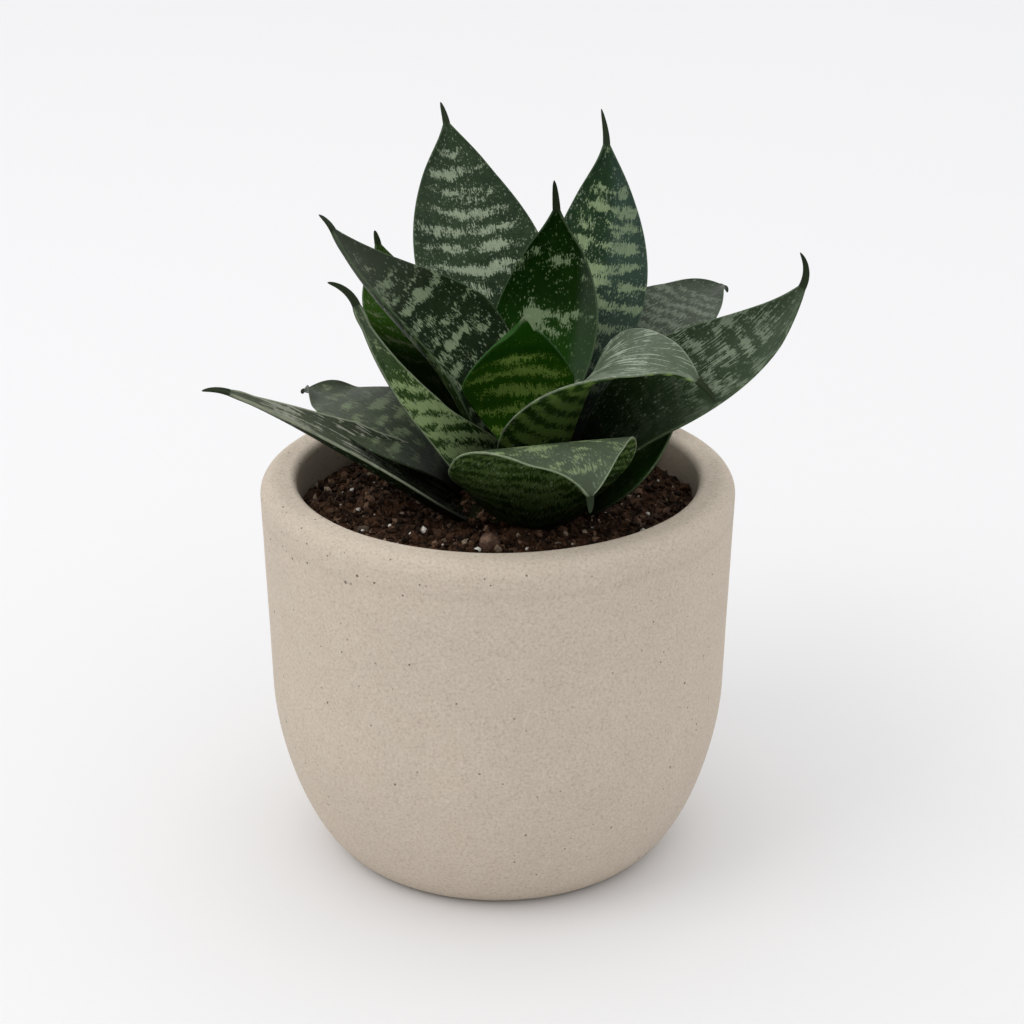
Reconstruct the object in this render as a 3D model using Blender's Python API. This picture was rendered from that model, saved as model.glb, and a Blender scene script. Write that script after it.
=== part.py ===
"""Dwarf snake plant in a round concrete pot: pot, soil, crown and fourteen leaves."""

import bpy
import bmesh
import numpy as np
from math import cos, pi, radians, sin

# All sizes below are millimetres and degrees; MM turns them into metres.
MM = 0.001
GAP = 0.3

# Pot: turned shell with a flat base, a round belly and a soft rim.
POT_RADIUS = 70.0
POT_HEIGHT = 118.0
POT_WALL = 11.0
POT_TAPER = 0.03
FOOT_RADIUS = 46.5
BELLY_HEIGHT = 53.0
BELLY_POWER = 1.23
RIM_OUTER_ROUND = 5.0
RIM_INNER_ROUND = 2.5
FLOOR_THICKNESS = 14.0
CAVITY_FOOT_RADIUS = 36.0
CAVITY_BELLY_HEIGHT = 50.0
TURN_STEPS = 64

# Soil fills the pot to a little under the rim.
SOIL_LEVEL = 108.5

# Plant: a short buried stem that widens into a low cone carrying the leaves.
STEM_X = 6.0
STEM_Y = 1.0
CONE_RADIUS = 20.0
CONE_SLOPE = 0.45
STEM_RADIUS = 8.0
STEM_DEPTH = 26.0
STEM_STEPS = 32

# Blade: thickness along the middle, at the margin and at the spike; the neck where the
# blade rolls into its spike; and how far along the blade each change begins.
BLADE_THICK = 2.4
MARGIN_THICK = 0.7
SPIKE_THICK = 0.9
NECK_WIDTH = 2.6
NECK_CUP = 150.0
WIDEST_AT = 0.5
THIN_FROM = 0.55
NECK_FROM = 0.82
BASE_SHARE = 0.84
SPIKE_SLIMMING = 0.7
BLADE_STATIONS = 15
SPIKE_STATIONS = 3
BLADE_COLUMNS = 7

# One entry for each leaf, from the heart of the rosette outward.
# heading: compass direction round the stem, 0 along +X and 90 along +Y.
# shell: radius on the cone from which the leaf grows.  length, width: of the blade.
# rise: slope above level at the base, halfway and at the neck.  turn: sideways bend.
# roll, twist: tilt about its own midrib at the base, and what the neck adds to it.
# wrap, cup: arc that the section spans at the base and halfway up.
# spike, curl: length of the end spike and how far it bends on.
# seat: fine correction of the base's height, so a thin even gap is left on the cone.
# fullness: high for a round-shouldered tip, low for a straight-sided one.
LEAVES = {
    "leaf_heart": {
        "heading": 60, "shell": 4, "seat": -0.2,
        "length": 77, "width": 34, "fullness": 1.3, "wrap": 103, "cup": 63,
        "rise": (75, 131, 141), "turn": 45, "roll": 8, "twist": 2, "spike": 11, "curl": 81,
    },
    "leaf_centre": {
        "heading": 68, "shell": 8.5, "seat": 0.1,
        "length": 80, "width": 36, "fullness": 1.8, "wrap": 90, "cup": 76,
        "rise": (81, 58, 107), "turn": 10, "roll": -6, "twist": 6, "spike": 11, "curl": 12,
    },
    "leaf_back_left": {
        "heading": 102, "shell": 11.5, "seat": 0.0,
        "length": 129, "width": 44, "fullness": 1.8, "wrap": 117, "cup": 55,
        "rise": (77, 32, 44), "turn": 1, "roll": -1, "twist": 6, "spike": 8, "curl": 15,
    },
    "leaf_back_right": {
        "heading": 62, "shell": 15, "seat": -0.3,
        "length": 119, "width": 35, "fullness": 1.8, "wrap": 90, "cup": 51,
        "rise": (60, 35, 54), "turn": 27, "roll": 4, "twist": 12, "spike": 12, "curl": 17,
    },
    "leaf_front_right": {
        "heading": 300, "shell": 10.5, "seat": -0.4,
        "length": 82, "width": 40, "fullness": 1.8, "wrap": 113, "cup": 59,
        "rise": (68, 50, -32), "turn": 42, "roll": -3, "twist": 21, "spike": 8, "curl": -24,
    },
    "leaf_upper_left": {
        "heading": 150, "shell": 8.5, "seat": 0.4,
        "length": 86, "width": 44, "fullness": 1.8, "wrap": 71, "cup": 91,
        "rise": (82, 46, 31), "turn": -7, "roll": -25, "twist": 31, "spike": 12, "curl": 12,
    },
    "leaf_left": {
        "heading": 225, "shell": 10.5, "seat": -0.4,
        "length": 84, "width": 35, "fullness": 1.8, "wrap": 124, "cup": 6,
        "rise": (65, 50, 61), "turn": -10, "roll": -25, "twist": -15, "spike": 11, "curl": -32,
    },
    "leaf_rear_left": {
        "heading": 125, "shell": 15.5, "seat": 0.0,
        "length": 96, "width": 40, "fullness": 1.8, "wrap": 60, "cup": 47,
        "rise": (75, 17, 61), "turn": -14, "roll": 13, "twist": 2, "spike": 5, "curl": -12,
    },
    "leaf_right": {
        "heading": -22, "shell": 18.5, "seat": 0.2,
        "length": 95, "width": 37, "fullness": 1.6, "wrap": 50, "cup": 108,
        "rise": (75, 36, 64), "turn": 28, "roll": 25, "twist": 21, "spike": 11, "curl": 64,
    },
    "leaf_rear_right": {
        "heading": 56, "shell": 20, "seat": 0.0,
        "length": 106, "width": 40, "fullness": 1.8, "wrap": 71, "cup": 33,
        "rise": (44, 20, -6), "turn": -2, "roll": 3, "twist": 6, "spike": 5, "curl": -66,
    },
    "leaf_front": {
        "heading": 278, "shell": 23, "seat": 0.0,
        "length": 67, "width": 53, "fullness": 1.8, "wrap": 97, "cup": 5,
        "rise": (43, 48, -77), "turn": 23, "roll": -9, "twist": 9, "spike": 5, "curl": -16,
    },
    "leaf_low_right": {
        "heading": 348, "shell": 23, "seat": 0.8,
        "length": 44, "width": 37, "fullness": 1.8, "wrap": 65, "cup": 50,
        "rise": (33, 60, 48), "turn": 26, "roll": 18, "twist": -7, "spike": 3, "curl": 16,
    },
    "leaf_low_rear_left": {
        "heading": 172, "shell": 17.5, "seat": -0.2,
        "length": 59, "width": 55, "fullness": 1.8, "wrap": 50, "cup": 5,
        "rise": (70, 24, 1), "turn": -20, "roll": -4, "twist": 15, "spike": 2, "curl": -94,
    },
    "leaf_low_left": {
        "heading": 205, "shell": 23, "seat": 0.0,
        "length": 75, "width": 49, "fullness": 1.8, "wrap": 78, "cup": 49,
        "rise": (49, 26, 30), "turn": -45, "roll": -7, "twist": 36, "spike": 8, "curl": -70,
    },
}


def clear_scene():
    for item in list(bpy.data.objects):
        bpy.data.objects.remove(item, do_unlink=True)


def make_material(name, colour, roughness):
    material = bpy.data.materials.new(name)
    material.use_nodes = True
    shader = material.node_tree.nodes["Principled BSDF"]
    shader.inputs["Base Color"].default_value = (*colour, 1.0)
    shader.inputs["Roughness"].default_value = roughness
    shader.inputs["Metallic"].default_value = 0.0
    return material


def place_object(name, mesh, material, parent, location=(0.0, 0.0, 0.0), heading=0.0):
    item = bpy.data.objects.new(name, mesh)
    item.data.materials.append(material)
    item.location = [value * MM for value in location]
    item.rotation_euler = (0.0, 0.0, radians(heading))
    item.parent = parent
    bpy.context.scene.collection.objects.link(item)
    mesh.shade_smooth()
    mesh.set_sharp_from_angle(angle=radians(40.0))
    return item


def place_empty(name, location):
    empty = bpy.data.objects.new(name, None)
    empty.location = [value * MM for value in location]
    bpy.context.scene.collection.objects.link(empty)
    return empty


# ---- turned shapes -------------------------------------------------------

def belly_arc(foot, wall, height, base_z, power, steps):
    """Rounded corner from a flat foot up to a wall, bottom first."""
    points = []
    for step in range(steps + 1):
        angle = 0.5 * pi * step / steps
        radius = foot + (wall - foot) * sin(angle) ** power
        rise = height * (1.0 - cos(angle) ** power)
        points.append((radius, base_z + rise))
    return points


def round_corner(centre_r, centre_z, radius, start, end, steps):
    """Arc of a circle about a point of the section, angles in degrees."""
    points = []
    for step in range(steps + 1):
        angle = radians(start + (end - start) * step / steps)
        points.append((centre_r + radius * cos(angle), centre_z + radius * sin(angle)))
    return points


def outer_wall(height):
    """Outer radius of the pot's straight wall, which leans in slightly downward."""
    return POT_RADIUS - (POT_HEIGHT - RIM_OUTER_ROUND - height) * POT_TAPER


def cavity_wall(height):
    return outer_wall(height) - POT_WALL


def cavity_side(gap):
    """Inside of the pot from the floor up, moved inward by a gap."""
    top = CAVITY_BELLY_HEIGHT + FLOOR_THICKNESS
    arc = belly_arc(CAVITY_FOOT_RADIUS, cavity_wall(top), CAVITY_BELLY_HEIGHT,
                    FLOOR_THICKNESS, BELLY_POWER, 8)
    return [(radius - gap, height + gap) for radius, height in arc]


def pot_section():
    """Pot wall in section: up the inside, over the rim and down the outside."""
    inner_rim_z = POT_HEIGHT - RIM_INNER_ROUND
    outer_rim_z = POT_HEIGHT - RIM_OUTER_ROUND
    inner_r = cavity_wall(POT_HEIGHT)
    section = [(0.0, FLOOR_THICKNESS)]
    section += cavity_side(0.0)
    section += round_corner(inner_r + RIM_INNER_ROUND, inner_rim_z, RIM_INNER_ROUND, 180, 90, 4)
    section += round_corner(POT_RADIUS - RIM_OUTER_ROUND, outer_rim_z, RIM_OUTER_ROUND, 90, 0, 6)
    outside = belly_arc(FOOT_RADIUS, outer_wall(BELLY_HEIGHT), BELLY_HEIGHT, 0.0, BELLY_POWER, 12)
    section += list(reversed(outside))
    section.append((0.0, 0.0))
    return section


def soil_section():
    """Soil in section, measured from the pot's axis at the open top."""
    top_r = cavity_wall(SOIL_LEVEL) - GAP
    side = cavity_side(GAP)
    section = [(0.0, SOIL_LEVEL)]
    section += [(top_r, SOIL_LEVEL)]
    section += list(reversed(side))
    section.append((0.0, FLOOR_THICKNESS + GAP))
    return section


def crown_section():
    """Stem in section: low cone above the soil, round stub below it."""
    cone_height = CONE_RADIUS * CONE_SLOPE
    section = [(0.0, cone_height)]
    section += [(0.15 * CONE_RADIUS, 0.85 * cone_height)]
    section += [(CONE_RADIUS, GAP), (STEM_RADIUS, GAP)]
    section += [(STEM_RADIUS, -0.8 * STEM_DEPTH), (0.6 * STEM_RADIUS, -STEM_DEPTH)]
    section.append((0.0, -STEM_DEPTH))
    return section


def section_mesh(name, section):
    """Open edge chain in the XZ plane, ready for a Screw modifier."""
    mesh = bpy.data.meshes.new(name)
    points = [(radius * MM, 0.0, height * MM) for radius, height in section]
    edges = [(index, index + 1) for index in range(len(points) - 1)]
    mesh.from_pydata(points, edges, [])
    return mesh


def turn_section(item, steps):
    screw = item.modifiers.new("turned", "SCREW")
    screw.steps = steps
    screw.render_steps = steps
    screw.use_merge_vertices = True
    screw.merge_threshold = 0.00005
    screw.use_normal_calculate = False
    screw.use_smooth_shade = True


def cut_stem_hole(soil, stem):
    """Hole in the soil that leaves a thin gap round the buried stem."""
    bm = bmesh.new()
    depth = STEM_DEPTH + 2.0 * GAP
    bmesh.ops.create_cone(bm, cap_ends=True, segments=STEM_STEPS,
                          radius1=(STEM_RADIUS + 2.0 * GAP) * MM,
                          radius2=(STEM_RADIUS + 2.0 * GAP) * MM, depth=2.0 * depth * MM)
    mesh = bpy.data.meshes.new("stem_hole")
    bm.to_mesh(mesh)
    bm.free()
    cutter = bpy.data.objects.new("stem_hole", mesh)
    cutter.parent = stem
    cutter.hide_render = True
    cutter.display_type = "WIRE"
    bpy.context.scene.collection.objects.link(cutter)
    boolean = soil.modifiers.new("stem hole", "BOOLEAN")
    boolean.operation = "DIFFERENCE"
    boolean.solver = "EXACT"
    boolean.object = cutter


# ---- leaves --------------------------------------------------------------

def smooth_step(value):
    value = np.clip(value, 0.0, 1.0)
    return value * value * (3.0 - 2.0 * value)


def leaf_stations():
    """Places along the leaf: 0 to 1 on the blade, 1 to 2 on the spike."""
    blade = np.linspace(0.0, 1.0, BLADE_STATIONS)
    spike = 1.0 + np.arange(1, SPIKE_STATIONS + 1) / SPIKE_STATIONS
    return np.concatenate([blade, spike])


def leaf_midrib(leaf, along):
    """Midrib points and the across and inward directions, heading along +X."""
    blade = np.minimum(along, 1.0)
    spike = np.clip(along - 1.0, 0.0, 1.0)
    low, middle, high = leaf["rise"]
    slope = low * (1.0 - blade) * (1.0 - 2.0 * blade)
    slope += 4.0 * middle * blade * (1.0 - blade)
    slope += high * blade * (2.0 * blade - 1.0)
    slope = np.radians(slope + leaf["curl"] * spike)
    side = np.radians(leaf["turn"] * blade)
    ahead = np.stack([np.cos(slope) * np.cos(side), np.cos(slope) * np.sin(side), np.sin(slope)], -1)
    steps = np.diff(blade) * leaf["length"] + np.diff(spike) * leaf["spike"]
    moves = 0.5 * (ahead[1:] + ahead[:-1]) * steps[:, None]
    midrib = np.vstack([np.zeros(3), np.cumsum(moves, axis=0)])
    across = np.stack([-np.sin(side), np.cos(side), np.zeros_like(side)], -1)
    inward = np.cross(ahead, across)
    roll = np.radians(leaf["roll"] + leaf["twist"] * blade)[:, None]
    tilted = across * np.cos(roll) + inward * np.sin(roll)
    return midrib, tilted, inward * np.cos(roll) - across * np.sin(roll)


def leaf_half_width(leaf, along):
    """Half the width measured round the section: widening, then drawn in to the neck."""
    blade = np.minimum(along, 1.0)
    spike = np.clip(along - 1.0, 0.0, 1.0)
    widest = 0.5 * leaf["width"]
    base = min(0.5 * leaf["shell"] * radians(leaf["wrap"]), BASE_SHARE * widest)
    lower = base + (widest - base) * np.sin(0.5 * pi * np.clip(blade / WIDEST_AT, 0.0, 1.0))
    drawn = np.clip((blade - WIDEST_AT) / (1.0 - WIDEST_AT), 0.0, 1.0)
    neck = 0.5 * NECK_WIDTH
    upper = neck + (widest - neck) * (1.0 - drawn ** leaf["fullness"])
    return np.where(blade < WIDEST_AT, lower, upper) * (1.0 - SPIKE_SLIMMING * spike)


def leaf_cup(leaf, along):
    """Arc in radians that the section spans: a channel that closes at the neck."""
    blade = np.minimum(along, 1.0)
    arc = leaf["wrap"] + (leaf["cup"] - leaf["wrap"]) * smooth_step(blade / WIDEST_AT)
    arc += (NECK_CUP - arc) * smooth_step((blade - NECK_FROM) / (1.0 - NECK_FROM))
    return np.radians(arc)


def leaf_thickness(along, across):
    """Half thickness: full on the midrib, thin at the margins, tapering to the spike."""
    blade = np.minimum(along, 1.0)
    spike = np.clip(along - 1.0, 0.0, 1.0)
    middle = BLADE_THICK + (SPIKE_THICK - BLADE_THICK) * smooth_step((blade - THIN_FROM) / (1.0 - THIN_FROM))
    middle = middle[:, None] * (1.0 - SPIKE_SLIMMING * spike[:, None])
    edge = np.minimum(MARGIN_THICK, middle)
    return 0.5 * (edge + (middle - edge) * (1.0 - across[None, :] ** 2))


def leaf_faces_grid(leaf):
    """Inner and outer face of the leaf as two grids of points."""
    along = leaf_stations()
    across = np.linspace(-1.0, 1.0, BLADE_COLUMNS)
    midrib, side, inward = leaf_midrib(leaf, along)
    cup = leaf_cup(leaf, along)[:, None]
    width = leaf_half_width(leaf, along)[:, None]
    angle = 0.5 * cup * across[None, :]
    reach = width * np.sin(angle) / (0.5 * cup)
    lift = width * (1.0 - np.cos(angle)) / (0.5 * cup)
    centre = midrib[:, None] + side[:, None] * reach[..., None] + inward[:, None] * lift[..., None]
    facing = inward[:, None] * np.cos(angle)[..., None] - side[:, None] * np.sin(angle)[..., None]
    half = leaf_thickness(along, across)[..., None]
    return centre + facing * half, centre - facing * half


def leaf_mesh(name, leaf):
    """Closed leaf: both faces, the two margins, the base and the spike's end."""
    upper, lower = leaf_faces_grid(leaf)
    rows, columns = upper.shape[:2]
    bm = bmesh.new()
    top = [[bm.verts.new(upper[r, c] * MM) for c in range(columns)] for r in range(rows)]
    bottom = [[bm.verts.new(lower[r, c] * MM) for c in range(columns)] for r in range(rows)]
    for row in range(rows - 1):
        for col in range(columns - 1):
            bm.faces.new((top[row][col], top[row + 1][col], top[row + 1][col + 1], top[row][col + 1]))
            bm.faces.new((bottom[row][col], bottom[row][col + 1],
                          bottom[row + 1][col + 1], bottom[row + 1][col]))
        for col in (0, columns - 1):
            bm.faces.new((top[row][col], bottom[row][col], bottom[row + 1][col], top[row + 1][col]))
    for row in (0, rows - 1):
        for col in range(columns - 1):
            bm.faces.new((top[row][col], top[row][col + 1], bottom[row][col + 1], bottom[row][col]))
    bmesh.ops.recalc_face_normals(bm, faces=bm.faces)
    mesh = bpy.data.meshes.new(name)
    bm.to_mesh(mesh)
    bm.free()
    return mesh


def leaf_seat(leaf):
    """Point of the cone where a leaf's base stands, in the stem's own frame."""
    slope = radians(leaf["rise"][0])
    cone = CONE_SLOPE * max(CONE_RADIUS - leaf["shell"], 0.0)
    clearance = 0.5 * BLADE_THICK * (cos(slope) + CONE_SLOPE * sin(slope))
    height = cone + clearance + leaf["seat"]
    heading = radians(leaf["heading"])
    return leaf["shell"] * cos(heading), leaf["shell"] * sin(heading), height


# ---- assembly ------------------------------------------------------------

def build_pot(root):
    concrete = make_material("concrete", (0.50, 0.45, 0.38), 0.9)
    pot = place_object("pot", section_mesh("pot", pot_section()), concrete, root)
    turn_section(pot, TURN_STEPS)


def build_soil(root, stem):
    earth = make_material("potting_soil", (0.035, 0.018, 0.010), 1.0)
    soil = place_object("soil", section_mesh("soil", soil_section()), earth, root)
    turn_section(soil, TURN_STEPS)
    cut_stem_hole(soil, stem)


def build_crown(stem):
    flesh = make_material("stem_flesh", (0.20, 0.22, 0.10), 0.7)
    crown = place_object("crown", section_mesh("crown", crown_section()), flesh, stem)
    turn_section(crown, STEM_STEPS)


def build_leaves(stem):
    for name, leaf in LEAVES.items():
        green = make_material(name, (0.045, 0.10, 0.035), 0.45)
        place_object(name, leaf_mesh(name, leaf), green, stem, leaf_seat(leaf), leaf["heading"])


def main():
    clear_scene()
    root = place_empty("potted_plant", (0.0, 0.0, 0.0))
    stem = place_empty("stem_axis", (STEM_X, STEM_Y, SOIL_LEVEL))
    stem.parent = root
    build_pot(root)
    build_soil(root, stem)
    build_crown(stem)
    build_leaves(stem)


main()
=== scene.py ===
import bpy
import numpy as np
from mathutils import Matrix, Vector


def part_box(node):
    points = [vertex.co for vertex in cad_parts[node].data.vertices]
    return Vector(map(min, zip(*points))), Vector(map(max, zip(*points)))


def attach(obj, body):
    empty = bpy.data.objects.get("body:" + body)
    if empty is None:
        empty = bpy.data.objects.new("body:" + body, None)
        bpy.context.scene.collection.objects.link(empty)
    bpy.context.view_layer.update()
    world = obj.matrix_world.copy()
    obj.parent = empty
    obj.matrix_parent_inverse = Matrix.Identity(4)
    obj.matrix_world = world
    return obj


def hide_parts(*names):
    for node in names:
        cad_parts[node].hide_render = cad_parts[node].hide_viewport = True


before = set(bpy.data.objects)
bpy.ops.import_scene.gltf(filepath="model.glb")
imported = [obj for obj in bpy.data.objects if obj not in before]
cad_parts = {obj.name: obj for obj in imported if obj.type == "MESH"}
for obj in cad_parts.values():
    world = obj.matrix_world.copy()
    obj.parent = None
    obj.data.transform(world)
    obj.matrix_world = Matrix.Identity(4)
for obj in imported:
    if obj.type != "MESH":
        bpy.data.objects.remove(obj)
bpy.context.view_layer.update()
print("frame loaded with", len(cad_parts), "parts")

mm = 0.001
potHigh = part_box("pot")[1]
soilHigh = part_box("soil")[1]
crownLow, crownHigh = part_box("crown")
potHeight = potHigh.z / mm
potRadius = potHigh.x / mm
soilLevel = soilHigh.z / mm
stemSpot = 0.5 * (crownLow + crownHigh) / mm


# small maths shared by every piece

def smoothStep(value):
    # 0 below 0, 1 above 1, three x squared minus two x cubed between
    value = np.clip(value, 0.0, 1.0)
    return value * value * (3.0 - 2.0 * value)


def lumps(points, size, seed):
    # value noise from -1 to 1: random numbers on the corners of cubes of this size, joined smoothly inside each cube
    cell = np.asarray(points, float) / size
    base = np.floor(cell).astype(np.int64)
    part = smoothStep(cell - base)
    total = np.zeros(cell.shape[:-1])
    for corner in np.ndindex(2, 2, 2):
        spot = base + np.array(corner)
        mixed = spot[..., 0] * 73856093 ^ spot[..., 1] * 19349663 ^ spot[..., 2] * 83492791 ^ seed * 2654435761
        mixed = ((mixed ^ (mixed >> 13)) * 1274126177) & 0xFFFFFFFF
        value = ((mixed ^ (mixed >> 15)) & 0xFFFF) / 32767.5 - 1.0
        weight = np.prod(np.where(np.array(corner) == 1, part, 1.0 - part), axis=-1)
        total += value * weight
    return total


def roughLumps(points, size, seed, layers=3):
    # several sizes of lumps added, each half the size and half the height of the one before
    total = 0.0
    for layer in range(layers):
        total = total + lumps(points, size / 2 ** layer, seed + layer) / 2 ** layer
    return total


def addPiece(name, mesh, *replaced):
    piece = bpy.data.objects.new(name, mesh)
    bpy.context.scene.collection.objects.link(piece)
    mesh.shade_smooth()
    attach(piece, "root")
    if replaced:
        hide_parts(*replaced)
    return piece


def ringOf(count):
    # directions evenly round a full turn: angles, and the step east and north for each
    angle = np.linspace(0.0, 2.0 * np.pi, count, endpoint=False)
    return angle, np.stack([np.cos(angle), np.sin(angle)], -1)


def wrapGrid(rows, columns):
    # quads of a tube: rows along it, columns round it, the last column joined to the first
    row, column = np.meshgrid(np.arange(rows - 1), np.arange(columns), indexing="ij")
    here = row * columns + column
    beside = row * columns + (column + 1) % columns
    return np.stack([here, here + columns, beside + columns, beside], -1).reshape(-1, 4)


def tubeMesh(name, points, firstPole=None, lastPole=None):
    # points is rows by columns by 3 in millimetres, each end closed by a fan to its pole
    rows, columns = points.shape[:2]
    verts = points.reshape(-1, 3)
    faces = wrapGrid(rows, columns).tolist()
    ring = np.arange(columns)
    after = (ring + 1) % columns
    if firstPole is not None:
        faces += np.stack([np.full(columns, len(verts)), ring, after], -1).tolist()
        verts = np.vstack([verts, firstPole])
    if lastPole is not None:
        last = (rows - 1) * columns
        faces += np.stack([np.full(columns, len(verts)), last + after, last + ring], -1).tolist()
        verts = np.vstack([verts, lastPole])
    mesh = bpy.data.meshes.new(name)
    mesh.from_pydata((verts * mm).tolist(), [], faces)
    mesh.update()
    return mesh


def putUv(mesh, name, perVertex):
    layer = mesh.uv_layers.new(name=name)
    corner = np.empty(len(mesh.loops), np.int32)
    mesh.loops.foreach_get("vertex_index", corner)
    layer.data.foreach_set("uv", perVertex[corner].astype(np.float32).ravel())


# node helpers

def feed(tree, socket, value):
    if isinstance(value, bpy.types.NodeSocket):
        tree.links.new(value, socket)
    elif value is not None:
        socket.default_value = value


def calc(tree, how, a, b=None, c=None, clamp=False):
    node = tree.nodes.new("ShaderNodeMath")
    node.operation = how
    node.use_clamp = clamp
    for socket, value in zip(node.inputs, (a, b, c)):
        feed(tree, socket, value)
    return node.outputs[0]


def times(tree, a, b):
    return calc(tree, "MULTIPLY", a, b)


def timesPlus(tree, a, b, c):
    return calc(tree, "MULTIPLY_ADD", a, b, c)


def spread(tree, value, low, high, outLow=0.0, outHigh=1.0):
    # value taken from low..high to outLow..outHigh with a soft start and end
    node = tree.nodes.new("ShaderNodeMapRange")
    node.interpolation_type = "SMOOTHSTEP"
    for socket, item in zip(node.inputs, (value, low, high, outLow, outHigh)):
        feed(tree, socket, item)
    return node.outputs[0]


def blendColour(tree, amount, first, second, how="MIX"):
    node = tree.nodes.new("ShaderNodeMix")
    node.data_type = "RGBA"
    node.blend_type = how
    for place, value in ((0, amount), (6, first), (7, second)):
        feed(tree, node.inputs[place], (*value, 1.0) if isinstance(value, tuple) else value)
    return node.outputs[2]


def madeNode(tree, kind, **values):
    node = tree.nodes.new("ShaderNode" + kind)
    for label, value in values.items():
        feed(tree, node.inputs[label], value)
    return node.outputs


def stretch(tree, place, scale, shift=(0.0, 0.0, 0.0)):
    return madeNode(tree, "Mapping", Vector=place, Scale=scale, Location=shift)[0]


def cloud(tree, place, scale=1.0, detail=2.0, rough=0.5):
    return madeNode(tree, "TexNoise", Vector=place, Scale=scale, Detail=detail, Roughness=rough)["Fac"]


def cells(tree, place):
    # distance to the nearest random dot, and two random numbers that belong to the dot
    near = madeNode(tree, "TexVoronoi", Vector=place, Scale=1.0)
    own = madeNode(tree, "SeparateColor", Color=near["Color"])
    return near["Distance"], own[0], own[1]


def split(tree, vector):
    return tuple(madeNode(tree, "SeparateXYZ", Vector=vector))


def join(tree, x, y, z):
    return madeNode(tree, "CombineXYZ", X=x, Y=y, Z=z)[0]


def bumpFrom(tree, height, strength, distance):
    return madeNode(tree, "Bump", Strength=strength, Distance=distance, Height=height)[0]


def newGroup(name, ins, *outs):
    tree = bpy.data.node_groups.new(name, "ShaderNodeTree")
    for label, value in ins.items():
        kind = "NodeSocketVector" if isinstance(value, tuple) else "NodeSocketFloat"
        socket = tree.interface.new_socket(name=label, in_out="INPUT", socket_type=kind)
        socket.default_value = value
    for label in outs:
        tree.interface.new_socket(name=label, in_out="OUTPUT", socket_type="NodeSocketFloat")
    return tree, tree.nodes.new("NodeGroupInput").outputs, tree.nodes.new("NodeGroupOutput").inputs


def useGroup(tree, group, **values):
    node = tree.nodes.new("ShaderNodeGroup")
    node.node_tree = group
    for label, value in values.items():
        feed(tree, node.inputs[label], value)
    return node.outputs


def newMaterial(name):
    material = bpy.data.materials.new(name)
    material.use_nodes = True
    tree = material.node_tree
    return material, tree, tree.nodes["Principled BSDF"]


def dress(tree, shader, colour, rough, gloss=None, normal=None):
    # each value goes in as a link or as the socket's own number, and None leaves the socket alone
    for label, value in (("Base Color", colour), ("Roughness", rough), ("Specular IOR Level", gloss),
                         ("Normal", normal)):
        feed(tree, shader.inputs[label], value)


def objectPlace(tree):
    return tree.nodes.new("ShaderNodeTexCoord").outputs["Object"]


def uvPlace(tree, name):
    node = tree.nodes.new("ShaderNodeUVMap")
    node.uv_map = name
    return node.outputs[0]


# camera, floor and light

view = {
    "place": (0.0042, -0.686, 0.390),
    "tilt": 67.42,      # degrees from straight down
    "lens": 87.9,
    "floorSide": 14.0,
    "floorColour": (0.86, 0.86, 0.875),
}

camera = bpy.data.objects.new("camera", bpy.data.cameras.new("camera"))
camera.location = view["place"]
camera.rotation_euler = (np.radians(view["tilt"]), 0.0, 0.0)
camera.data.lens = view["lens"]
camera.data.sensor_width = 36.0
camera.data.clip_start = 0.01
bpy.context.scene.collection.objects.link(camera)
bpy.context.scene.camera = camera
bpy.context.scene.view_settings.view_transform = "Standard"


def layFloor():
    half = 0.5 * view["floorSide"]
    mesh = bpy.data.meshes.new("floor")
    corners = [(-half, -half, 0), (half, -half, 0), (half, half, 0), (-half, half, 0)]
    mesh.from_pydata(corners, [], [(0, 1, 2, 3)])
    floor = bpy.data.objects.new("floor", mesh)
    bpy.context.scene.collection.objects.link(floor)
    material, tree, shader = newMaterial("paleFloor")
    tint = cloud(tree, objectPlace(tree), 3.0, 2.0)
    colour = blendColour(tree, spread(tree, tint, 0.3, 0.7, 0.0, 0.05), view["floorColour"], (0.8, 0.8, 0.8))
    dress(tree, shader, colour, 0.9, 0.2)
    mesh.materials.append(material)


lights = {
    "overhead": 1.10,     # brightness straight up
    "behind": 0.76,       # low down behind the plant
    "inFront": 0.22,      # low down in front, where the room is dark
    "backdrop": 0.88,     # what the camera itself sees past the floor
    "keyPlace": (-1.3, -0.7, 1.7),
    "keyAim": (0.0, 0.0, 0.1),
    "keySide": 1.2,
    "keyPower": 9.0,
    "keyColour": (1.0, 0.98, 0.95),
}


def setLights():
    # a studio tent: bright above, pale behind, dim low down in front
    world = bpy.data.worlds.new("studio")
    bpy.context.scene.world = world
    world.use_nodes = True
    tree = world.node_tree
    back = tree.nodes["Background"]
    x, y, z = split(tree, tree.nodes.new("ShaderNodeTexCoord").outputs["Generated"])
    low = spread(tree, y, -0.7, 0.5, lights["inFront"], lights["behind"])
    tent = spread(tree, z, 0.0, 0.8, low, lights["overhead"])
    seen = tree.nodes.new("ShaderNodeLightPath").outputs["Is Camera Ray"]
    unseen = times(tree, tent, calc(tree, "SUBTRACT", 1.0, seen))
    tent = calc(tree, "ADD", unseen, times(tree, seen, lights["backdrop"]))
    back.inputs["Color"].default_value = (1.0, 1.0, 1.0, 1.0)
    tree.links.new(tent, back.inputs["Strength"])
    lamp = bpy.data.lights.new("keyLamp", "AREA")
    lamp.shape = "SQUARE"
    lamp.size = lights["keySide"]
    lamp.energy = lights["keyPower"]
    lamp.color = lights["keyColour"]
    item = bpy.data.objects.new("keyLamp", lamp)
    item.location = lights["keyPlace"]
    item.rotation_euler = (Vector(lights["keyAim"]) - item.location).to_track_quat("-Z", "Y").to_euler()
    bpy.context.scene.collection.objects.link(item)


layFloor()
setLights()
print("camera, floor and light are set")


# pot

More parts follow.
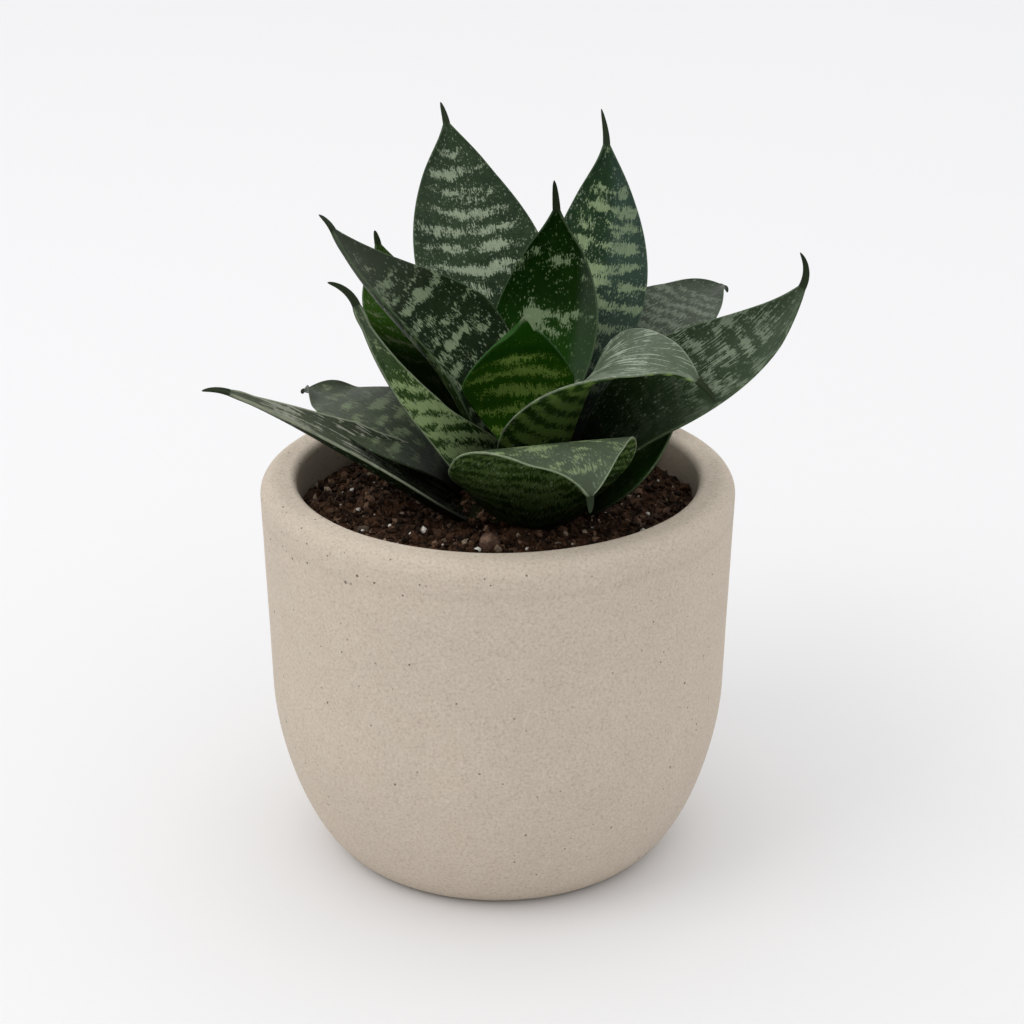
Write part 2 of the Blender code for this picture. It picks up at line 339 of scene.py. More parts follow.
pot = {
    "wall": 11.0,
    "taper": 0.03,       # how much the straight wall leans in per millimetre down
    "foot": 46.5,
    "belly": 53.0,
    "power": 1.23,
    "rimOuter": 5.0,
    "rimInner": 2.5,
    "floor": 14.0,
    "cavityFoot": 36.0,
    "cavityBelly": 50.0,
    "turns": 288,
    "wobble": 0.16,
}


def potWall(height):
    return potRadius - (potHeight - pot["rimOuter"] - height) * pot["taper"]


def bellyArc(foot, wall, height, lift, steps):
    # radius = foot + (wall - foot) * sin(a) ** p and height = h * (1 - cos(a) ** p), for a from 0 to a right angle
    angle = np.linspace(0.0, 0.5 * np.pi, steps)
    radius = foot + (wall - foot) * np.sin(angle) ** pot["power"]
    rise = height * (1.0 - np.cos(angle) ** pot["power"])
    return np.stack([radius, lift + rise], -1)


def lipArc(centreR, centreZ, radius, start, end, steps):
    angle = np.radians(np.linspace(start, end, steps))
    return np.stack([centreR + radius * np.cos(angle), centreZ + radius * np.sin(angle)], -1)


def straight(start, end, steps):
    share = np.linspace(0.0, 1.0, steps + 2)[1:-1, None]
    return np.array(start) * (1.0 - share) + np.array(end) * share


def potSection():
    # from the middle of the cavity floor out, up the inside, over the lip, down the outside and in under the foot
    innerR = potWall(potHeight) - pot["wall"]
    cavityTop = pot["cavityBelly"] + pot["floor"]
    inside = bellyArc(pot["cavityFoot"], potWall(cavityTop) - pot["wall"], pot["cavityBelly"], pot["floor"], 20)
    lipIn = lipArc(innerR + pot["rimInner"], potHeight - pot["rimInner"], pot["rimInner"], 180, 90, 9)
    lipOut = lipArc(potRadius - pot["rimOuter"], potHeight - pot["rimOuter"], pot["rimOuter"], 90, 0, 15)
    outside = bellyArc(pot["foot"], potWall(pot["belly"]), pot["belly"], 0.0, 44)[::-1]
    parts = [straight((0.0, pot["floor"]), inside[0], 8), inside, straight(inside[-1], lipIn[0], 14), lipIn]
    parts += [straight(lipIn[-1], lipOut[0], 2), lipOut, straight(lipOut[-1], outside[0], 22), outside]
    parts += [straight(outside[-1], (0.0, 0.0), 8)]
    return np.vstack(parts)


def potPoints():
    # the section turned about Z, each ring moved in and out a little by slow lumps, as a cast wall is
    section = potSection()
    angle, around = ringOf(pot["turns"])
    points = np.zeros((len(section), pot["turns"], 3))
    points[..., :2] = section[:, None, :1] * around[None]
    points[..., 2] = section[:, None, 1]
    push = pot["wobble"] * (0.7 * lumps(points, 38.0, 3) + 0.3 * lumps(points, 9.0, 4))
    held = smoothStep(points[..., 2] / 4.0)
    points[..., :2] *= 1.0 + (push * held)[..., None] / potRadius
    points[..., 2] += 0.12 * lumps(points * (1, 1, 0), 30.0, 9) * smoothStep((points[..., 2] - potHeight + 9.0) / 9.0)
    return points


def holesGroup():
    # pin-holes of one size: dark dots on a share of the random cells, each with a size of its own
    ins = {"Place": (0.0, 0.0, 0.0), "Size": 1.0, "Share": 0.1, "Where": 1.0}
    tree, take, give = newGroup("pinHoles", ins, "Dots")
    distance, pick, size = cells(tree, take["Place"])
    keep = calc(tree, "LESS_THAN", pick, times(tree, take["Share"], take["Where"]))
    radius = times(tree, take["Size"], timesPlus(tree, size, 0.75, 0.4))
    inside = spread(tree, distance, times(tree, radius, 0.55), radius, 1.0, 0.0)
    feed(tree, give["Dots"], times(tree, inside, keep))
    return tree


pinHoles = holesGroup()

concrete = {
    "lineHeight": 0.1065,     # where the faint cast line runs, in metres
    "innerShadeFrom": 0.080,       # painted shade is laid on the inner wall above this
    "crowding": 7.0,          # how many more pin-holes under the front left of the lip
    "warm": (0.600, 0.515, 0.420),
    "cool": (0.575, 0.497, 0.408),
    "sandLight": (0.72, 0.65, 0.56),
    "sandDark": (0.33, 0.27, 0.21),
    "hole": (0.085, 0.070, 0.055),
    # colour of the painted shade on the inner wall
    "innerShade": (0.24, 0.19, 0.13),
}


def concreteMaterial():
    material, tree, shader = newMaterial("castConcrete")
    place = objectPlace(tree)
    x, y, z = split(tree, place)
    slow = cloud(tree, place, 22.0, 3.0, 0.55)
    colour = blendColour(tree, spread(tree, slow, 0.35, 0.65), concrete["warm"], concrete["cool"])
    mottle = cloud(tree, place, 140.0, 4.0, 0.6)
    grain = cloud(tree, place, 1250.0, 4.0, 0.75)
    pale = spread(tree, mottle, 0.35, 0.75, 0.0, 0.15)
    darkSand = spread(tree, grain, 0.50, 0.70, 0.0, 0.55)
    lightSand = spread(tree, grain, 0.50, 0.32, 0.0, 0.48)
    # a faint cast line just under the lip
    offLine = calc(tree, "SUBTRACT", z, timesPlus(tree, slow, 0.004, concrete["lineHeight"]))
    line = spread(tree, calc(tree, "ABSOLUTE", offLine), 0.0, 0.0022, 0.10, 0.0)
    # painted shade: the inside of the wall is darkened down towards the soil, where less light reaches it
    fromAxis = calc(tree, "SQRT", timesPlus(tree, x, x, times(tree, y, y)))
    innerR = (potRadius - pot["wall"]) * mm
    inside = spread(tree, fromAxis, innerR + 0.0016, innerR - 0.0008)
    inside = times(tree, inside, spread(tree, z, concrete["innerShadeFrom"], concrete["innerShadeFrom"] + 0.010))
    innerShade = times(tree, inside, spread(tree, z, potHeight * mm, soilLevel * mm, 0.22, 0.62))
    # more holes in a loose patch under the front left of the lip
    patch = spread(tree, cloud(tree, place, 30.0, 2.0), 0.40, 0.62, 0.35, 1.6)
    nearRim = spread(tree, z, 0.096, 0.116)
    left = spread(tree, x, 0.02, -0.05)
    crowd = timesPlus(tree, times(tree, nearRim, left), concrete["crowding"], patch)
    holes = 0.0
    fineHoles, mediumHoles = (620.0, 0.24, 0.045, crowd), (260.0, 0.15, 0.030, crowd)
    largeHoles = (95.0, 0.085, 0.10, patch)
    for scale, size, share, where in (fineHoles, mediumHoles, largeHoles):
        cell = stretch(tree, place, (scale,) * 3)
        dots = useGroup(tree, pinHoles, Place=cell, Size=size, Share=share, Where=where)[0]
        holes = calc(tree, "MAXIMUM", dots, holes)
    for amount, key in ((pale, "sandLight"), (darkSand, "sandDark"), (lightSand, "sandLight"), (line, "sandDark"),
                        (innerShade, "innerShade"), (times(tree, holes, 0.8), "hole")):
        colour = blendColour(tree, amount, colour, concrete[key])
    height = timesPlus(tree, grain, 0.35, times(tree, holes, -1.0))
    height = timesPlus(tree, mottle, 0.5, height)
    dress(tree, shader, colour, spread(tree, grain, 0.3, 0.7, 0.78, 0.95), 0.25, bumpFrom(tree, height, 0.5, 0.0004))
    return material


potMesh = tubeMesh("potShell", potPoints(), (0.0, 0.0, pot["floor"]), (0.0, 0.0, 0.0))
potMesh.materials.append(concreteMaterial())
potShell = addPiece("potShell", potMesh, "pot")
print("pot:", len(potMesh.polygons), "faces")


# soil

soil = {
    "gap": 0.3,
    "stemHole": 8.6,
    "stemDepth": 26.6,
    "lump": 1.5,
    "turns": 300,
    "rings": 86,
    "crumbs": 7600,
    "smallest": 0.32,     # radius of a crumb, then how much larger the largest may be
    "larger": 1.5,
    "heap": 0.45,         # how steeply the crumbs climb the crown, out to heapReach
    "heapReach": 20.5,
    "clearStem": 12.0,
    "clearWall": 1.6,
    "seed": 11,
}


def cavityRadius(height):
    # straight wall above the inner belly, the belly's own curve below it
    top = pot["cavityBelly"] + pot["floor"]
    arc = bellyArc(pot["cavityFoot"], potWall(top) - pot["wall"], pot["cavityBelly"], pot["floor"], 60)
    return np.where(height > top, potWall(height) - pot["wall"], np.interp(height, arc[:, 1], arc[:, 0]))


def reachFrom(stem, angle, radius):
    # distance from the stem to a circle about the pot's axis, in each direction
    along = stem[0] * np.cos(angle) + stem[1] * np.sin(angle)
    return -along + np.sqrt(radius ** 2 - stem[0] ** 2 - stem[1] ** 2 + along ** 2)


def soilTop(spots):
    # level ground with three sizes of lumps, dipping a little towards the wall
    flat = np.concatenate([spots, np.zeros(spots.shape[:-1] + (1,))], -1)
    rough = roughLumps(flat, 9.0, 21, 4)
    fromAxis = np.linalg.norm(spots, axis=-1)
    dip = 1.2 * smoothStep((fromAxis - 46.0) / 12.0)
    return soilLevel - 0.9 + soil["lump"] * rough - dip


def soilPoints():
    # rings round the stem that grow into the wall's circle: up the stem hole, over the top, down the wall, in below
    angle, around = ringOf(soil["turns"])
    stem = np.array(stemSpot[:2])

    def raised(spots, heights):
        # one ring at several heights, or a ring for each height
        heights = np.broadcast_to(heights[:, None, None], (len(heights), len(angle), 1))
        return np.concatenate([np.broadcast_to(spots, heights.shape[:2] + (2,)), heights], -1)

    holeZ = np.linspace(soilLevel - soil["stemDepth"], soilLevel - 2.0, 6)
    hole = stem + soil["stemHole"] * around
    share = np.linspace(0.0, 1.0, soil["rings"])[:, None]
    rim = reachFrom(stem, angle, cavityRadius(soilLevel) - soil["gap"])
    topSpots = stem + (soil["stemHole"] + (rim - soil["stemHole"]) * share)[..., None] * around
    top = np.concatenate([topSpots, soilTop(topSpots)[..., None]], -1)
    sideZ = np.linspace(soilLevel - 5.0, pot["floor"] + soil["gap"] + 0.5, 14)
    sideR = cavityRadius(sideZ) - soil["gap"]
    side = np.stack([reachFrom(stem, angle, radius) for radius in sideR])
    sideSpots = stem + side[..., None] * around
    floorShare = np.linspace(0.9, 0.1, 5)[:, None, None]
    underSpots = stem + (sideSpots[-1] - stem) * floorShare
    under = raised(underSpots, np.full(len(floorShare), pot["floor"] + soil["gap"]))
    return np.vstack([raised(hole, holeZ), top, raised(sideSpots, sideZ), under])


earth = {
    "dark": (0.009, 0.004, 0.002),
    "brown": (0.085, 0.040, 0.019),
    "light": (0.260, 0.160, 0.105),
    "straw": (0.42, 0.33, 0.24),
}


def soilMaterial(name, fleck, ownTone=False):
    material, tree, shader = newMaterial(name)
    place = objectPlace(tree)
    lump = cloud(tree, place, 320.0, 4.0, 0.65)
    colour = blendColour(tree, spread(tree, lump, 0.32, 0.62), earth["dark"], earth["brown"])
    fibre = cloud(tree, stretch(tree, place, (900.0, 380.0, 700.0)), 1.0, 2.0, 0.6)
    colour = blendColour(tree, spread(tree, fibre, 0.58, 0.78, 0.0, fleck), colour, earth["light"])
    if ownTone:
        # every crumb has its own two random numbers: how dark it is, and whether it is a pale woody bit
        dim, woody = split(tree, uvPlace(tree, "crumbTone"))[:2]
        colour = blendColour(tree, spread(tree, dim, 0.35, 1.0, 0.0, 0.85), colour, earth["dark"])
        colour = blendColour(tree, spread(tree, dim, 0.18, 0.0, 0.0, 0.7), colour, earth["light"])
        colour = blendColour(tree, spread(tree, woody, 0.972, 0.985, 0.0, 0.75), colour, earth["straw"])
    height = timesPlus(tree, cloud(tree, place, 1500.0, 3.0, 0.7), 0.5, lump)
    dress(tree, shader, colour, spread(tree, lump, 0.3, 0.7, 0.95, 0.72), 0.2, bumpFrom(tree, height, 0.8, 0.0009))
    return material


def knobShape():
    # the twelve corners and twenty faces of an icosahedron, radius one
    gold = 0.5 * (1.0 + 5.0 ** 0.5)
    base = np.array([(0, 1, gold), (0, -1, gold), (0, 1, -gold), (0, -1, -gold)], float)
    corners = np.vstack([base, base[:, [2, 0, 1]], base[:, [1, 2, 0]]])
    corners /= np.linalg.norm(corners, axis=1)[:, None]
    gap = np.linalg.norm(corners[:, None] - corners[None], axis=-1)
    near = (gap < 1.06) & (gap > 0.1)
    first, second, third = np.nonzero(near[:, :, None] & near[None] & near.T[:, None])
    faces = np.stack([first, second, third], -1)
    faces = faces[(first < second) & (second < third)]
    across = np.cross(corners[faces[:, 1]] - corners[faces[:, 0]], corners[faces[:, 2]] - corners[faces[:, 0]])
    turned = np.sum(across * corners[faces[:, 0]], axis=1) < 0
    faces[turned] = faces[turned][:, [0, 2, 1]]
    return corners, faces


def scatter(name, spots, sizes, squash, rugged, seed):
    # one knob at every spot, each stretched, turned and dented by its own random numbers
    rng = np.random.default_rng(seed)
    corners, faces = knobShape()
    count = len(spots)
    shape = 1.0 + rugged * (rng.random((count, len(corners), 1)) - 0.5)
    points = corners[None] * shape * (1.0 - squash * rng.random((count, 1, 3)))
    spin = rng.normal(size=(count, 4))
    spin /= np.linalg.norm(spin, axis=1)[:, None]
    w, v = spin[:, None, :1], np.broadcast_to(spin[:, None, 1:], points.shape)
    twice = 2.0 * np.cross(v, points)
    points = points + w * twice + np.cross(v, twice)
    points = points * sizes[:, None, None] + spots[:, None]
    allFaces = (faces[None] + len(corners) * np.arange(count)[:, None, None]).reshape(-1, 3)
    mesh = bpy.data.meshes.new(name)
    mesh.from_pydata((points.reshape(-1, 3) * mm).tolist(), [], allFaces.tolist())
    mesh.update()
    return mesh


def crumbSpots(count, seed):
    # evenly over the open ring of soil, clear of the crown and of the wall
    rng = np.random.default_rng(seed)
    wall = cavityRadius(soilLevel)
    radius = wall * np.sqrt(rng.random(3 * count))
    angle = 2.0 * np.pi * rng.random(3 * count)
    spots = np.stack([radius * np.cos(angle), radius * np.sin(angle)], -1)
    fromStem = np.linalg.norm(spots - np.array(stemSpot[:2]), axis=1)
    kept = spots[(radius < wall - soil["clearWall"]) & (fromStem > soil["clearStem"])][:count]
    return kept, rng


soilMesh = tubeMesh("soilBody", soilPoints(), (stemSpot[0], stemSpot[1], soilLevel - soil["stemDepth"]),
                    (stemSpot[0], stemSpot[1], pot["floor"] + soil["gap"]))
soilMesh.materials.append(soilMaterial("dampSoil", 0.5))
soilBody = addPiece("soilBody", soilMesh, "soil")

crumbXy, rng = crumbSpots(soil["crumbs"], soil["seed"])
crumbSize = soil["smallest"] + soil["larger"] * rng.random(len(crumbXy)) ** 3.4
fromStem = np.linalg.norm(crumbXy - np.array(stemSpot[:2]), axis=1)
heaped = soilLevel + soil["heap"] * np.maximum(soil["heapReach"] - fromStem, 0.0)
crumbZ = np.where(fromStem < soil["heapReach"], heaped, soilTop(crumbXy)) + crumbSize * 0.35
crumbMesh = scatter("soilCrumbs", np.column_stack([crumbXy, crumbZ]), crumbSize, 0.6, 0.95, 5)
putUv(crumbMesh, "crumbTone", np.repeat(rng.random((len(crumbXy), 2)), 12, axis=0))
crumbMesh.materials.append(soilMaterial("crumbSoil", 0.6, ownTone=True))
soilCrumbs = addPiece("soilCrumbs", crumbMesh)
crumbMesh.shade_flat()
print("soil:", len(soilMesh.polygons), "faces and", len(crumbXy), "crumbs")

# the larger white grains by place and radius, then a thin sprinkling of small ones
perlite = {
    "grains": ((-41.0, -7.7, 0.9), (-39.0, -14.5, 0.8), (-38.7, -25.0, 0.9), (-35.0, -21.2, 0.7), (-31.0, -21.6, 0.8),
               (-24.7, -27.9, 0.9), (-21.1, -23.5, 1.5), (-15.5, -34.1, 0.6), (-5.4, -37.6, 1.2), (8.6, -36.6, 0.8),
               (18.6, -38.6, 1.0), (28.8, -34.4, 0.8), (41.9, -23.5, 1.1), (44.0, -8.0, 0.8), (38.0, 22.0, 1.0),
               (-20.0, 42.0, 1.1), (12.0, 45.0, 0.9), (-44.0, 12.0, 0.8)),
    "small": 70,
    "light": (0.78, 0.74, 0.67),
    "dull": (0.42, 0.37, 0.31),
}


def perliteMaterial():
    material, tree, shader = newMaterial("perliteGrain")
    dust = cloud(tree, objectPlace(tree), 700.0, 3.0, 0.6)
    colour = blendColour(tree, spread(tree, dust, 0.42, 0.62), perlite["light"], perlite["dull"])
    dress(tree, shader, colour, 0.85, normal=bumpFrom(tree, dust, 0.6, 0.0004))
    return material


grains = np.array(perlite["grains"])
smallXy, rng = crumbSpots(perlite["small"], 23)
perliteXy = np.vstack([grains[:, :2], smallXy])
perliteSize = np.concatenate([grains[:, 2], 0.25 + 0.35 * rng.random(len(smallXy))])
perliteZ = soilTop(perliteXy) + 0.75 * perliteSize + 0.25
perliteMesh = scatter("perliteGrains", np.column_stack([perliteXy, perliteZ]), perliteSize, 0.3, 0.45, 8)
perliteMesh.materials.append(perliteMaterial())
perliteGrains = addPiece("perliteGrains", perliteMesh)

pellet = {
    "place": (-2.1, -33.7),
    "radius": 3.2,
    "brown": (0.075, 0.036, 0.021),
    "pale": (0.22, 0.13, 0.085),
}


def pelletPoints():
    # a ball in rings from pole to pole, pushed in and out by two sizes of lumps
    polar = np.linspace(0.0, np.pi, 34)[1:-1, None]
    angle = np.linspace(0.0, 2.0 * np.pi, 56, endpoint=False)[None]
    ball = np.stack([np.sin(polar) * np.cos(angle), np.sin(polar) * np.sin(angle), np.cos(polar) + 0.0 * angle], -1)
    grow = 1.0 + 0.07 * lumps(ball, 0.9, 3)[..., None] + 0.03 * lumps(ball, 0.3, 4)[..., None]
    return ball * grow * pellet["radius"]


def pelletMaterial():
    material, tree, shader = newMaterial("bakedClay")
    skin = cloud(tree, objectPlace(tree), 500.0, 4.0, 0.65)
    colour = blendColour(tree, spread(tree, skin, 0.42, 0.66), pellet["brown"], pellet["pale"])
    dress(tree, shader, colour, 0.8, normal=bumpFrom(tree, skin, 0.6, 0.0005))
    return material


pelletSpot = np.array(pellet["place"])
pelletRise = np.array([*pelletSpot, float(soilTop(pelletSpot[None])[0]) + 0.45 * pellet["radius"]])
pelletMesh = tubeMesh("clayPellet", pelletPoints() + pelletRise, pelletRise + (0.0, 0.0, pellet["radius"]),
                      pelletRise - (0.0, 0.0, pellet["radius"]))
pelletMesh.materials.append(pelletMaterial())
clayPellet = addPiece("clayPellet", pelletMesh)
print("grains:", len(perliteXy), "and one pellet")


# leaves

blade = {
    "coneRadius": 20.0,
    "coneSlope": 0.45,
    "thick": 2.4,
    "margin": 0.7,
    "tipThick": 1.3,
    "neckWidth": 2.6,
    "neckCup": 150.0,
    "widestAt": 0.5,
    "thinFrom": 0.55,
    "neckFrom": 0.82,
    "baseShare": 0.84,
    "bead": 0.42,
    "rows": 118,
    "spikeRows": 26,
    "columns": 41,
}

# millimetres and degrees
# heading: direction round the stem.  shell: radius on the crown.  seat: height of the foot over what carries it.
# length, width: of the blade.  fullness: how full its upper half is.  trimLeft, trimRight: share cut off that side.
# rise: slope at the base, halfway and at the neck.  turn: sideways bend.  roll, twist: tilt about the midrib.
# wrap, cup: arc of the section at the base and halfway.  spike, curl, swing: length and bends of the end spike.
leaves = {
    "leaf_heart": dict(
        heading=60, shell=4, seat=-0.2, length=77, width=34, fullness=1.3, wrap=103, cup=63, rise=(75, 131, 141),
        turn=45, roll=8, twist=2, spike=11, curl=81),
    "leaf_centre": dict(
        heading=68, shell=8.5, seat=0.1, length=80, width=36, fullness=1.8, wrap=90, cup=76, rise=(81, 58, 107),
        turn=10, roll=-6, twist=6, spike=11, curl=12),
    "leaf_back_left": dict(
        heading=102, shell=11.5, seat=0.0, length=129, width=44, fullness=1.8, wrap=117, cup=55, rise=(77, 32, 44),
        turn=1, roll=-1, twist=6, spike=8, curl=15, swing=22),
    "leaf_back_right": dict(
        heading=62, shell=15, seat=-0.3, length=119, width=35, fullness=1.8, wrap=90, cup=51, rise=(60, 35, 54),
        turn=27, roll=4, twist=12, spike=12, curl=17, swing=40),
    "leaf_front_right": dict(
        heading=300, shell=10.5, seat=-0.4, length=82, width=40, fullness=1.8, wrap=113, cup=59, rise=(68, 50, -32),
        turn=42, roll=-3, twist=21, spike=8, curl=-24),
    "leaf_upper_left": dict(
        heading=150, shell=8.5, seat=0.4, length=88, width=52, fullness=1.19, wrap=111, cup=125,
        rise=(88, 43.5, 63.6), turn=17, roll=-2.5, twist=-6.8, trimRight=0.57, spike=6.3, curl=-30),
    "leaf_left": dict(
        heading=225, shell=10.5, seat=-0.4, length=78, width=26, fullness=0.98, wrap=144, cup=90, rise=(53, 53, 71),
        turn=-34, roll=-65, twist=-25, trimLeft=0.54, trimRight=0.57, spike=11, curl=-58),
    "leaf_rear_left": dict(
        heading=125, shell=15.5, seat=0.0, length=96, width=40, fullness=1.8, wrap=60, cup=47, rise=(75, 17, 61),
        turn=-14, roll=13, twist=2, spike=5, curl=-12),
    "leaf_right": dict(
        heading=-22, shell=18.5, seat=0.2, length=95, width=37, fullness=1.6, wrap=50, cup=108, rise=(75, 36, 64),
        turn=28, roll=25, twist=21, spike=11, curl=64),
    "leaf_rear_right": dict(
        heading=56, shell=20, seat=0.0, length=106, width=40, fullness=1.8, wrap=71, cup=33, rise=(44, 20, -6),
        turn=-2, roll=3, twist=6, spike=5, curl=-66),
    "leaf_front": dict(
        heading=278, shell=23, seat=0.0, length=67, width=53, fullness=1.8, wrap=97, cup=5, rise=(43, 48, -77),
        turn=23, roll=-9, twist=9, spike=5, curl=-16),
    "leaf_low_right": dict(
        heading=348, shell=23, seat=0.8, length=44, width=37, fullness=1.8, wrap=65, cup=50, rise=(33, 60, 48),
        turn=26, roll=18, twist=-7, spike=3, curl=16),
    "leaf_low_rear_left": dict(
        heading=172, shell=17.5, seat=-0.2, length=59, width=55, fullness=1.8, wrap=50, cup=5, rise=(70, 24, 1),
        turn=-20, roll=-4, twist=15, spike=2, curl=-94),
    "leaf_low_left": dict(
        heading=205, shell=23, seat=0.0, length=75, width=33, fullness=0.8, wrap=91, cup=125, rise=(36, 35, 23.4),
        turn=-21, roll=-17, twist=-4, trimLeft=0.39, trimRight=0.56, spike=8, curl=-33),
}


def leafRows():
    # 0 to 1 along the blade, 1 to 2 along the spike
    body = np.linspace(0.0, 1.0, blade["rows"])
    tip = 1.0 + np.sin(0.5 * np.pi * np.linspace(0.0, 1.0, blade["spikeRows"] + 1)[1:-1])
    return np.concatenate([body, tip])


def bodyAndTip(along):
    # how far along the blade, and how far along the spike
    return np.minimum(along, 1.0), np.clip(along - 1.0, 0.0, 1.0)


def leafMidrib(leaf, along):
    # the slope is a parabola through the three rises, the direction turns sideways evenly, and the midrib is the sum
    # of the small steps in that direction; across and inward are square to it, turned by the roll
    body, tip = bodyAndTip(along)
    low, middle, high = leaf["rise"]
    slope = low * (1 - body) * (1 - 2 * body) + 4 * middle * body * (1 - body) + high * body * (2 * body - 1)
    slope = np.radians(slope + leaf["curl"] * tip)
    side = np.radians(leaf["turn"] * body + leaf.get("swing", 0.0) * tip)
    ahead = np.stack([np.cos(slope) * np.cos(side), np.cos(slope) * np.sin(side), np.sin(slope)], -1)
    steps = np.diff(body) * leaf["length"] + np.diff(tip) * leaf["spike"]
    midrib = np.vstack([np.zeros(3), np.cumsum(0.5 * (ahead[1:] + ahead[:-1]) * steps[:, None], axis=0)])
    distance = np.concatenate([[0.0], np.cumsum(steps)])
    across = np.stack([-np.sin(side), np.cos(side), np.zeros_like(side)], -1)
    inward = np.cross(ahead, across)
    roll = np.radians(leaf["roll"] + leaf["twist"] * body)[:, None]
    tilted = across * np.cos(roll) + inward * np.sin(roll)
    return midrib, tilted, inward * np.cos(roll) - across * np.sin(roll), distance


def leafHalfWidth(leaf, along):
    # a quarter sine from the base out to the widest place, then 1 - u ** fullness in to the neck, and a tapering spike
    body, tip = bodyAndTip(along)
    widest = 0.5 * leaf["width"]
    base = min(0.5 * leaf["shell"] * np.radians(leaf["wrap"]), blade["baseShare"] * widest)
    lower = base + (widest - base) * np.sin(0.5 * np.pi * np.clip(body / blade["widestAt"], 0.0, 1.0))
    drawn = np.clip((body - blade["widestAt"]) / (1.0 - blade["widestAt"]), 0.0, 1.0)
    neck = 0.5 * blade["neckWidth"]
    upper = neck + (widest - neck) * (1.0 - drawn ** leaf["fullness"])
    taper = np.sqrt(np.clip(1.0 - tip ** 1.3, 0.0, 1.0))
    return np.where(body < blade["widestAt"], lower, upper) * taper


def leafPoints(leaf):
    # the section is an arc of angle cup whose length is the width: point = midrib + across * w sin(q) / h
    # + inward * w (1 - cos(q)) / h, with h half the cup and q = h v, then moved out by half the thickness both ways;
    # the thickness falls from the midrib to the margin as 1 - v squared and ends in a round bead
    along = leafRows()
    midrib, side, inward, distance = leafMidrib(leaf, along)
    v = np.sin(0.5 * np.pi * np.linspace(-1.0, 1.0, blade["columns"]))
    v = np.concatenate([v, v[-2:0:-1]])
    face = np.concatenate([np.ones(blade["columns"]), -np.ones(blade["columns"] - 2)])
    body, tip = bodyAndTip(along)
    cup = leaf["wrap"] + (leaf["cup"] - leaf["wrap"]) * smoothStep(body / blade["widestAt"])
    cup = cup + (blade["neckCup"] - cup) * smoothStep((body - blade["neckFrom"]) / (1.0 - blade["neckFrom"]))
    half = 0.5 * np.radians(cup)[:, None]
    # each half of the blade can be trimmed narrower than the other between the base and the neck
    trim = smoothStep((body - 0.1) / 0.4) * (1.0 - smoothStep((body - 0.9) / 0.1))
    trim = trim[:, None] * np.where(v < 0.0, leaf.get("trimLeft", 0.0), leaf.get("trimRight", 0.0))[None]
    width = leafHalfWidth(leaf, along)[:, None] * (1.0 - trim)
    q = half * v[None]
    centre = midrib[:, None] + side[:, None] * (width * np.sin(q) / half)[..., None]
    centre = centre + inward[:, None] * (width * (1.0 - np.cos(q)) / half)[..., None]
    facing = inward[:, None] * np.cos(q)[..., None] - side[:, None] * np.sin(q)[..., None]
    thinned = smoothStep((body - blade["thinFrom"]) / (1.0 - blade["thinFrom"]))
    middle = blade["thick"] + (blade["tipThick"] - blade["thick"]) * thinned
    middle = (middle * np.sqrt(np.clip(1.0 - tip ** 1.5, 0.0, 1.0)))[:, None]
    edge = np.minimum(blade["margin"], middle)
    depth = 0.5 * (edge + (middle - edge) * (1.0 - v[None] ** 2))
    fromEdge = width * (1.0 - np.abs(v[None]))
    bead = np.minimum(blade["bead"], 0.6 * width)
    inBead = np.clip(fromEdge / np.maximum(bead, 1e-6), 0.0, 1.0)
    depth = depth * np.sqrt(np.clip(1.0 - (1.0 - inBead) ** 2, 0.0, 1.0))
    points = centre + facing * (depth * face[None])[..., None]
    heading = np.radians(leaf["heading"])
    turn = np.array([[np.cos(heading), np.sin(heading), 0], [-np.sin(heading), np.cos(heading), 0], [0, 0, 1]])
    slope = np.radians(leaf["rise"][0])
    cone = blade["coneSlope"] * max(blade["coneRadius"] - leaf["shell"], 0.0)
    seat = cone + 0.5 * blade["thick"] * (np.cos(slope) + blade["coneSlope"] * np.sin(slope)) + leaf["seat"]
    foot = np.array([leaf["shell"] * np.cos(heading) + stemSpot[0], leaf["shell"] * np.sin(heading) + stemSpot[1],
                     seat + soilLevel])
    pattern = np.stack([width * v[None], np.broadcast_to(distance[:, None], fromEdge.shape)], -1)
    edges = np.stack([fromEdge, np.broadcast_to(along[:, None], fromEdge.shape)], -1)
    return points @ turn + foot, pattern, edges


